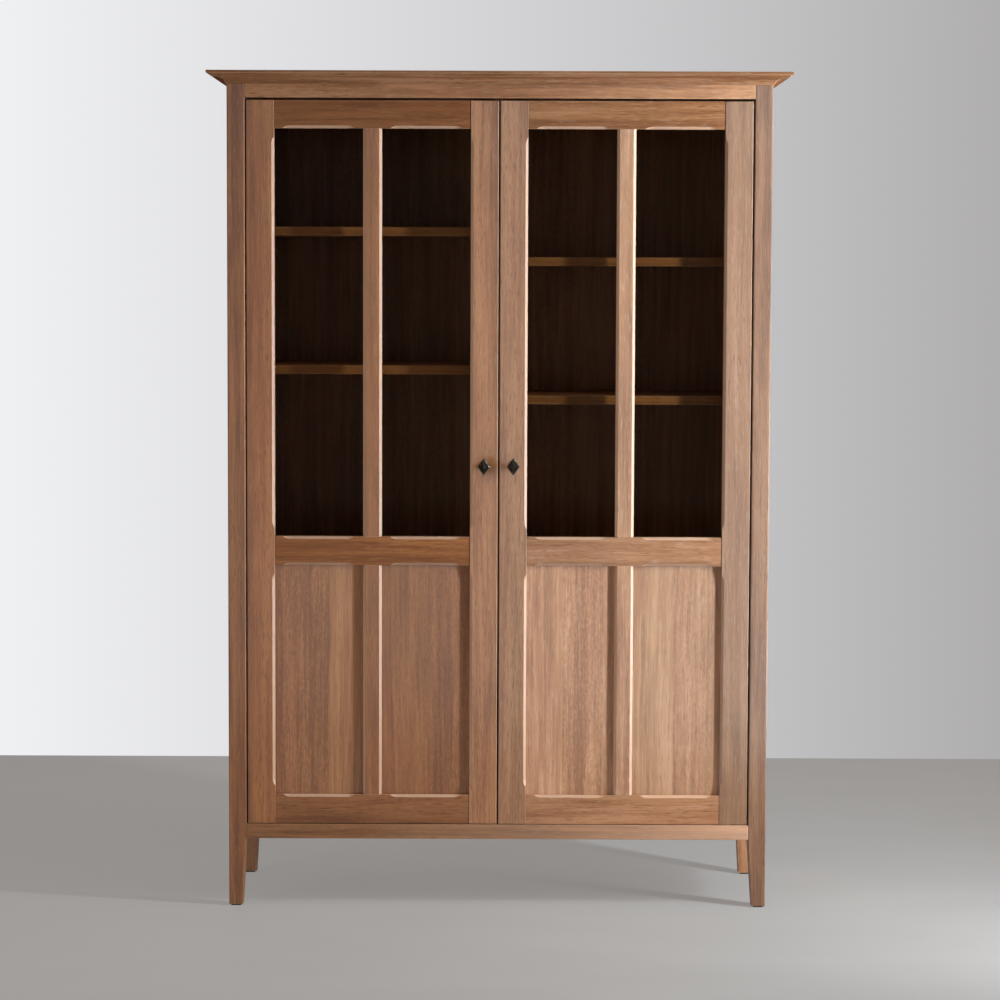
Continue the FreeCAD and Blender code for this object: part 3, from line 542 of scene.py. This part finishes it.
def felt_material():
    """Pressed felt with matted fibres."""
    tone = bpy.context.scene.dresser_fittings.felt
    material, graph, shader = new_material("pressed_felt", Specular_IOR_Level=0.2, Sheen_Weight=0.3)
    spot = graph.add("ShaderNodeTexCoord").outputs["Object"]
    fibres = graph.noise(spot, 1500.0, 4.0, 0.7, 1.5)
    paler = tuple(PALE_FELT * part for part in tone)
    mixed = graph.blend(graph.spread(fibres, 0.4, 0.7), opaque(tone), opaque(paler))
    graph.feed(shader.inputs["Base Color"], mixed)
    graph.feed(shader.inputs["Roughness"], graph.spread(fibres, 0.3, 0.7, 0.85, 1.0))
    graph.feed(shader.inputs["Normal"], graph.bump(fibres, 0.5, 0.0008))
    return material


# Nodes of the frame

def nodes_in(slot):
    """Names of the CAD pieces that the record gives one material slot."""
    return [row["node"] for row in frame["record"]["subparts"] if row["material_slot"] == slot]


def on_door(node):
    return any(node.startswith(side + "_door_") for side in SIDES)


def wear_material(node, material):
    slots = frame["nodes"][node].material_slots
    if not slots:
        frame["nodes"][node].data.materials.append(None)
    for slot in slots:
        slot.material = material


def grain_axis(node):
    """The axis that a piece's grain follows: its length, unless it is one of several in its node."""
    if node in GRAIN_BY_NODE:
        return GRAIN_BY_NODE[node]
    low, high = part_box(node)
    sizes = [end - start for start, end in zip(low, high)]
    return "XYZ"[sizes.index(max(sizes))]


def finish_wood(name, nodes, **looks):
    """Gives each piece the wood that runs along its own grain, and its board's tone with its painted light
    and shade.
    """
    made = {}
    for node in nodes:
        axis = grain_axis(node)
        level, warmth = BOARD_TONES_AND_PAINTED_LIGHT.get(node, (1.0, 0.0))
        green = level * (1 - GREEN_SHARE * warmth)
        blue = level * (1 - warmth)
        # The object colour carries the board's tone with its painted light and shade, and its alpha the
        # painted sheen at the right end
        frame["nodes"][node].color = (level, green, blue, PAINTED_SHEEN_ENDS.get(node, 0.0))
        if axis not in made:
            made[axis] = wood_material(name + "_along_" + axis.lower(), axis, **looks)
        wear_material(node, made[axis])


def soften(node, radius):
    """Rounds a piece's sharp edges after its flat faces are made whole again."""
    piece = frame["nodes"][node]
    flat = piece.modifiers.new("whole_faces", "DECIMATE")
    flat.decimate_type = "DISSOLVE"
    flat.angle_limit = FLAT_ANGLE
    edge = piece.modifiers.new("soft_edges", "BEVEL")
    edge.width = radius
    edge.segments = 2
    edge.limit_method = "ANGLE"
    edge.angle_limit = SHARP_ANGLE
    piece.modifiers.new("even_shading", "WEIGHTED_NORMAL").keep_sharp = False


# Screws

def add_ring(shape, place, radius, height):
    """A ring of corners round the local Z axis of a place."""
    corners = []
    for step in range(SCREW_SIDES):
        turn = 2 * math.pi * step / SCREW_SIDES
        corner = Vector((radius * math.cos(turn), radius * math.sin(turn), height))
        corners.append(shape.verts.new(place @ corner))
    return corners


def join_rings(shape, first, second):
    for index in range(len(first)):
        following = (index + 1) % len(first)
        shape.faces.new((first[index], first[following], second[following], second[index]))


def cross_outline(shape, place, arm, half_width, height):
    """The twelve corners of a cross recess."""
    corners = []
    for quarter in range(4):
        turn = Matrix.Rotation(quarter * math.pi / 2, 4, "Z")
        for x, y in ((half_width, -half_width), (arm, -half_width), (arm, half_width)):
            corners.append(shape.verts.new(place @ turn @ Vector((x, y, height))))
    return corners


def add_screw_head(shape, place, radius, height):
    """A pan head with a rolled edge and a cross recess; its local Z points out of the wood."""
    rings = [add_ring(shape, place, radius * wide, height * high) for wide, high in SCREW_OUTLINE]
    for lower, upper in zip(rings, rings[1:]):
        join_rings(shape, lower, upper)
    mouth, floor = (cross_outline(shape, place, radius * arm, radius * half_width, height * level)
                    for arm, half_width, level in (CROSS_MOUTH, CROSS_FLOOR))
    join_rings(shape, floor, mouth)
    shape.faces.new(floor)
    edges = []
    for loop in (rings[-1], mouth):
        edges += [shape.edges.get(pair) for pair in zip(loop, loop[1:] + loop[:1])]
    bmesh.ops.triangle_fill(shape, edges=edges, use_beauty=True)


def screw_piece(name, places, body):
    """One piece with a screw head at each place, on a body."""
    fittings = bpy.context.scene.dresser_fittings
    shape = bmesh.new()
    for place in places:
        add_screw_head(shape, place, fittings.screw_radius, fittings.screw_height)
    bmesh.ops.recalc_face_normals(shape, faces=shape.faces)
    mesh = bpy.data.meshes.new(name)
    shape.to_mesh(mesh)
    shape.free()
    mesh.materials.append(bpy.data.materials["plated_steel"])
    piece = bpy.data.objects.new(name, mesh)
    bpy.context.scene.collection.objects.link(piece)
    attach(piece, body)


def facing_back(x, y, z, turn):
    """A place on a rear face, with its local Z pointing backwards."""
    backwards = Matrix.Translation((x, y, z)) @ Matrix.Rotation(-math.pi / 2, 4, "X")
    return backwards @ Matrix.Rotation(turn, 4, "Z")


def evenly(first, last, count):
    return [first + (last - first) * step / (count - 1) for step in range(count)]


# Operators

class DRESSER_OT_finish_frame(bpy.types.Operator):
    """Oils the posts, rails, cornice and top of the case"""

    bl_idname = "dresser.finish_frame"
    bl_label = "Oil the case"

    def execute(self, context):
        posts = ["front_" + side + "_post" for side in SIDES]
        head = ["top_panel", "cornice_front"] + ["cornice_" + side for side in SIDES]
        nodes = [node for node in nodes_in("frame_wood") if not on_door(node) and node not in posts + head]
        finish_wood("case_wood", nodes, flecks=0.45, contrast=1.3)
        # The posts' wider pale edges are partly wear, partly a painted highlight along their arrises
        finish_wood("post_wood", posts, flecks=0.45, contrast=1.4, wear=1.8)
        finish_wood("matt_wood", head, flecks=0.45, contrast=1.3, gloss=0.0)
        return {"FINISHED"}


class DRESSER_OT_finish_doors(bpy.types.Operator):
    """Oils the stiles, rails and muntins of the doors"""

    bl_idname = "dresser.finish_doors"
    bl_label = "Oil the door frames"

    def execute(self, context):
        nodes = [node for node in nodes_in("frame_wood") if on_door(node)]
        # chamfers=True paints a highlight on the door frames' chamfers
        finish_wood("door_wood", nodes, flecks=0.40, chamfers=True)
        return {"FINISHED"}


class DRESSER_OT_finish_panels(bpy.types.Operator):
    """Oils the veneered door panels, sides and back"""

    bl_idname = "dresser.finish_panels"
    bl_label = "Oil the panels"

    def execute(self, context):
        nodes = [node for node in nodes_in("panel_wood") if node != "back_panel"]
        finish_wood("panel_wood", nodes, strips=True, flecks=0.26, pore_depth=0.48, shade=1.08)
        finish_wood("back_wood", ["back_panel"], strips=True, flecks=0.12, pore_depth=0.48, gloss=0.4)
        return {"FINISHED"}


class DRESSER_OT_finish_shelves(bpy.types.Operator):
    """Oils the shelves, the partition and the bottom"""

    bl_idname = "dresser.finish_shelves"
    bl_label = "Oil the shelves"

    def execute(self, context):
        # shade=0.76 darkens the shelves as painted shade inside the case
        finish_wood("shelf_wood", nodes_in("shelf_wood"), flecks=0.12, shade=0.76, gloss=0.2)
        return {"FINISHED"}


class DRESSER_OT_glaze_doors(bpy.types.Operator):
    """Puts clear glass in the doors"""

    bl_idname = "dresser.glaze_doors"
    bl_label = "Glaze the doors"

    def execute(self, context):
        glass = glass_material()
        for node in nodes_in("clear_glass"):
            wear_material(node, glass)
        return {"FINISHED"}


class DRESSER_OT_finish_fittings(bpy.types.Operator):
    """Finishes knobs, hinges, pegs, catches and foot pads"""

    bl_idname = "dresser.finish_fittings"
    bl_label = "Finish the fittings"

    def execute(self, context):
        fittings = context.scene.dresser_fittings
        finishes = {
            "antique_iron": iron_material(),
            "hinge_brass": metal_material("aged_brass", fittings.brass, "X", 0.34),
            "zinc_steel": metal_material("plated_steel", fittings.zinc, "Y", 0.36),
            "catch_plastic": plastic_material(),
            "pad_felt": felt_material(),
        }
        for slot, material in finishes.items():
            for node in nodes_in(slot):
                wear_material(node, material)
        return {"FINISHED"}


class DRESSER_OT_soften_edges(bpy.types.Operator):
    """Rounds the sharp edges of wood and iron"""

    bl_idname = "dresser.soften_edges"
    bl_label = "Soften the edges"

    def execute(self, context):
        wood_radius = context.scene.dresser_wood.edge_radius
        iron_radius = context.scene.dresser_fittings.iron_radius
        radii = {"frame_wood": wood_radius, "panel_wood": wood_radius, "shelf_wood": wood_radius,
                 "antique_iron": iron_radius}
        for slot, radius in radii.items():
            for node in nodes_in(slot):
                soften(node, radius)
        return {"FINISHED"}


class DRESSER_OT_add_back_screws(bpy.types.Operator):
    """Adds the screws that hold the back to the posts, rails and partition"""

    bl_idname = "dresser.add_back_screws"
    bl_label = "Add the back screws"

    def execute(self, context):
        fittings = context.scene.dresser_fittings
        low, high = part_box("back_panel")
        edge = fittings.screw_edge
        rail_low, rail_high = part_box("rear_rails")
        first = rail_low[2] + RAIL_INSET * edge
        last = rail_high[2] - RAIL_INSET * edge
        uprights = (low[0] + edge, 0.0, high[0] - edge)
        spots = [(x, z) for x in uprights for z in evenly(first, last, fittings.back_screws_up)]
        columns = evenly(uprights[0], uprights[2], 2 * fittings.back_screws_across + 1)
        spots += [(x, z) for x in columns[1:-1] for z in (first, last) if abs(x) > edge]
        places = [facing_back(x, high[1], z, SCREW_TURN * index) for index, (x, z) in enumerate(spots)]
        screw_piece("back_screw_heads", places, CARCASS)
        return {"FINISHED"}


class DRESSER_OT_add_knob_screws(bpy.types.Operator):
    """Adds the screw that holds each knob, behind its stile"""

    bl_idname = "dresser.add_knob_screws"
    bl_label = "Add the knob screws"

    def execute(self, context):
        for index, side in enumerate(SIDES):
            low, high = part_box(side + "_door_knob")
            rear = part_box(side + "_door_meeting_stile")[1][1]
            turn = KNOB_SCREW_TURN + index
            place = facing_back((low[0] + high[0]) / 2, rear, (low[2] + high[2]) / 2, turn)
            screw_piece(side + "_knob_screw_head", [place], side + "_door")
        return {"FINISHED"}


class DRESSER_OT_set_stage(bpy.types.Operator):
    """Sets up the floor, the wall, the lamps and the camera"""

    bl_idname = "dresser.set_stage"
    bl_label = "Set up the studio"

    def execute(self, context):
        scene = context.scene
        studio = scene.dresser_studio
        scene.view_settings.view_transform = "Standard"
        add_floor(studio)
        add_wall(studio)
        add_lamps(studio)
        add_sky(studio)
        add_camera(studio)
        return {"FINISHED"}


# Studio

def stage_plane(name, corners, material):
    mesh = bpy.data.meshes.new(name)
    mesh.from_pydata(corners, [], [range(len(corners))])
    mesh.materials.append(material)
    piece = bpy.data.objects.new(name, mesh)
    bpy.context.scene.collection.objects.link(piece)


def paint_material(name, tone, grain):
    """Pale matt paint or cement with a faint cloudy unevenness."""
    material, graph, shader = new_material(name, Specular_IOR_Level=0.25)
    spot = graph.add("ShaderNodeTexCoord").outputs["Object"]
    cloud = graph.noise(graph.scaled(spot, (0.6, 1.4, 1.0)), grain, 5.0, 0.6)
    paler = tuple((1 + PAINT_CHANGE) * part for part in tone)
    darker = tuple((1 - PAINT_CHANGE) * part for part in tone)
    graph.feed(shader.inputs["Base Color"], graph.ramp(graph.spread(cloud, 0.3, 0.7), (darker, tone, paler)))
    graph.feed(shader.inputs["Roughness"], graph.spread(cloud, 0.3, 0.7, 0.62, 0.78))
    return material, graph, shader


def add_floor(studio):
    half = studio.stage_size / 2
    material, graph, shader = paint_material("pale_floor", studio.floor, 3.0)
    glow = tuple(FLOOR_GLOW * part for part in studio.floor)
    even = graph.add("ShaderNodeEmission", {"Color": opaque(glow)}).outputs[0]
    amount = graph.math("MULTIPLY", seen_directly(graph), studio.floor_paper)
    seen = graph.add("ShaderNodeMixShader", {0: amount, 1: shader.outputs[0], 2: even}).outputs[0]
    graph.feed(graph.tree.nodes["Material Output"].inputs["Surface"], seen)
    corners = [(-half, -half, 0), (half, -half, 0), (half, half, 0), (-half, half, 0)]
    stage_plane("studio_floor", corners, material)


def seen_directly(graph):
    """1 for rays that show the stage itself, straight or by way of glass and metal."""
    path = graph.add("ShaderNodeLightPath").outputs
    return graph.math("MAXIMUM", path["Is Camera Ray"],
                      graph.math("MAXIMUM", path["Is Glossy Ray"], path["Is Transmission Ray"]))


def add_wall(studio):
    """A pale wall with painted light that fades from bright on the left to darker on the right, and is only
    there when seen from the dresser's side.
    """
    half = studio.stage_size / 2
    y = studio.wall_distance
    top = studio.wall_height
    material, graph, shader = paint_material("pale_wall", studio.wall_right, 0.8)
    spot = graph.add("ShaderNodeTexCoord").outputs["Object"]
    x = graph.add("ShaderNodeSeparateXYZ", {0: spot}).outputs[0]
    painted_light_fade = graph.ramp(graph.spread(x, -WALL_FADE, WALL_FADE), (studio.wall_left, studio.wall_right))
    paper = graph.add("ShaderNodeEmission", {"Color": painted_light_fade, "Strength": 1.0}).outputs[0]
    amount = seen_directly(graph)
    front = graph.add("ShaderNodeMixShader", {0: amount, 1: shader.outputs[0], 2: paper}).outputs[0]
    behind = graph.add("ShaderNodeNewGeometry").outputs["Backfacing"]
    nothing = graph.add("ShaderNodeBsdfTransparent").outputs[0]
    seen = graph.add("ShaderNodeMixShader", {0: behind, 1: front, 2: nothing}).outputs[0]
    graph.feed(graph.tree.nodes["Material Output"].inputs["Surface"], seen)
    stage_plane("studio_wall", [(-half, y, 0), (half, y, 0), (half, y, top), (-half, y, top)], material)


def add_softbox(name, place, aim, size, watts, tone):
    lamp = bpy.data.lights.new(name, "AREA")
    lamp.shape = "RECTANGLE"
    lamp.size, lamp.size_y = size
    lamp.energy = watts
    lamp.color = tone
    box = bpy.data.objects.new(name, lamp)
    box.location = place
    box.rotation_euler = (Vector(aim) - Vector(place)).to_track_quat("-Z", "Y").to_euler()
    bpy.context.scene.collection.objects.link(box)
    return box


def add_lamps(studio):
    """A key softbox and a tall strip on the right, a fill on the left and a shallow box overhead."""
    key = studio.key_place
    key_size = (studio.key_width, studio.key_height)
    key_box = add_softbox("key_softbox", key, (0.0, 0.0, key[2]), key_size, studio.key_power,
                          studio.key_colour)
    fill = studio.fill_place
    fill_size = (studio.fill_width, studio.fill_height)
    fill_box = add_softbox("fill_softbox", fill, (0.0, 0.0, fill[2]), fill_size, studio.fill_power,
                           studio.soft_colour)
    for softbox in (key_box, fill_box):
        softbox.visible_glossy = False
    strip = (key[0], key[1], studio.strip_middle)
    strip_size = (studio.key_width, studio.strip_height)
    add_softbox("strip_softbox", strip, (0.0, 0.0, strip[2]), strip_size, studio.strip_power,
                studio.key_colour)
    top = studio.top_place
    top_size = (studio.top_width, studio.top_depth)
    add_softbox("top_softbox", top, (top[0], top[1], 0.0), top_size, studio.top_power, studio.soft_colour)


def add_sky(studio):
    """Soft light, weak from the front, with pale paper wherever the view goes past the floor and the wall."""
    world = bpy.data.worlds.new("soft_light")
    bpy.context.scene.world = world
    graph = Graph(world)
    way = graph.add("ShaderNodeTexCoord").outputs["Generated"]
    parts = graph.add("ShaderNodeSeparateXYZ", {0: way}).outputs
    rightward = parts[0]
    forward = parts[1]
    level = graph.math("MULTIPLY", graph.spread(forward, -0.90, -0.30, studio.front_level, studio.side_level),
                       graph.spread(rightward, -1.0, 1.0, 1 + studio.left_share, 1 - studio.left_share))
    light = graph.tree.nodes["Background"]
    light.inputs["Color"].default_value = opaque(studio.soft_colour)
    graph.feed(light.inputs["Strength"], level)
    tone = graph.ramp(graph.spread(forward, -0.55, 0.25), (studio.front_paper, studio.paper))
    paper = graph.add("ShaderNodeBackground", {"Color": tone, "Strength": 1.0})
    amount = seen_directly(graph)
    mixed = graph.add("ShaderNodeMixShader", {0: amount, 1: light.outputs[0], 2: paper.outputs[0]})
    graph.feed(graph.tree.nodes["World Output"].inputs["Surface"], mixed.outputs[0])


def add_camera(studio):
    data = bpy.data.cameras.new("photo_camera")
    data.lens = studio.lens
    camera = bpy.data.objects.new("photo_camera", data)
    turned = Matrix.Rotation(studio.camera_turn, 4, "Z")
    tilted = turned @ Matrix.Rotation(math.pi / 2 - studio.camera_tilt, 4, "X")
    stand = Matrix.Translation(studio.camera_place)
    camera.matrix_world = stand @ tilted @ Matrix.Rotation(studio.camera_roll, 4, "Z")
    bpy.context.scene.collection.objects.link(camera)
    bpy.context.scene.camera = camera


# Panel and registration

class DRESSER_PT_sidebar(bpy.types.Panel):
    """Lists the dresser's settings and steps"""

    bl_idname = "DRESSER_PT_sidebar"
    bl_label = "Kitchen dresser"
    bl_space_type = "VIEW_3D"
    bl_region_type = "UI"
    bl_category = "Dresser"

    def draw(self, context):
        for name, group, steps in SECTIONS:
            box = self.layout.box()
            box.label(text=group.bl_rna.description)
            settings = getattr(context.scene, name)
            for key in group.__annotations__:
                box.prop(settings, key)
            for step in steps:
                box.operator(step.bl_idname)


SECTIONS = (
    ("dresser_wood", DresserWood, (DRESSER_OT_finish_frame, DRESSER_OT_finish_doors, DRESSER_OT_finish_panels,
                                   DRESSER_OT_finish_shelves, DRESSER_OT_soften_edges)),
    ("dresser_fittings", DresserFittings, (DRESSER_OT_glaze_doors, DRESSER_OT_finish_fittings,
                                           DRESSER_OT_add_back_screws, DRESSER_OT_add_knob_screws)),
    ("dresser_studio", DresserStudio, (DRESSER_OT_set_stage,)),
)


def register():
    for name, group, steps in SECTIONS:
        bpy.utils.register_class(group)
        setattr(bpy.types.Scene, name, PointerProperty(type=group))
        for step in steps:
            bpy.utils.register_class(step)
    bpy.utils.register_class(DRESSER_PT_sidebar)


def unregister():
    bpy.utils.unregister_class(DRESSER_PT_sidebar)
    for name, group, steps in reversed(SECTIONS):
        for step in reversed(steps):
            bpy.utils.unregister_class(step)
        delattr(bpy.types.Scene, name)
        bpy.utils.unregister_class(group)


def main():
    register()
    for step in [step for section in SECTIONS for step in section[2]]:
        family, action = step.bl_idname.split(".")
        getattr(getattr(bpy.ops, family), action)()


if __name__ == "__main__":
    main()
